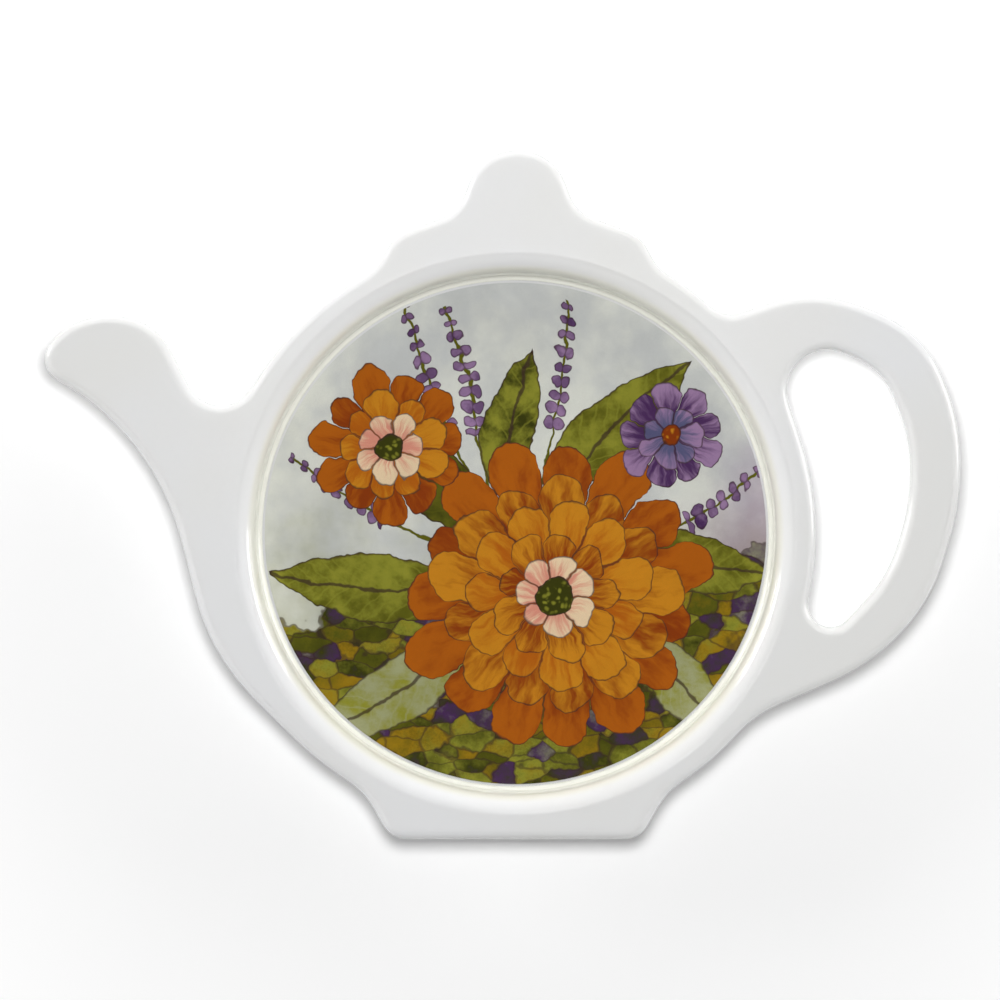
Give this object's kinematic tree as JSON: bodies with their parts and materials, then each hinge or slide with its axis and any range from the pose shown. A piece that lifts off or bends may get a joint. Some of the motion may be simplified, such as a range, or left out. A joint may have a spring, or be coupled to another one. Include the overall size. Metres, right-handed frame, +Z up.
{
  "type": "tea bag rest",
  "caption": "Teapot-shaped melamine tray for a used tea bag, with a round dished well, a printed floor and a handle loop.",
  "frame": {"origin": "on the table, under the middle of the round well", "axes": "+Z up out of the well, +X towards the handle, -X towards the spout, +Y towards the lid's knob"},
  "size_m": [0.1599, 0.1203, 0.01],
  "materials": {
    "melamine": "gloss",
    "print": "satin",
    "glaze": "gloss"
  },
  "bodies": {
    "root": {"tray_moulding": "melamine", "printed_foil": "print", "clear_glaze": "glaze"}
  },
  "joints": []
}
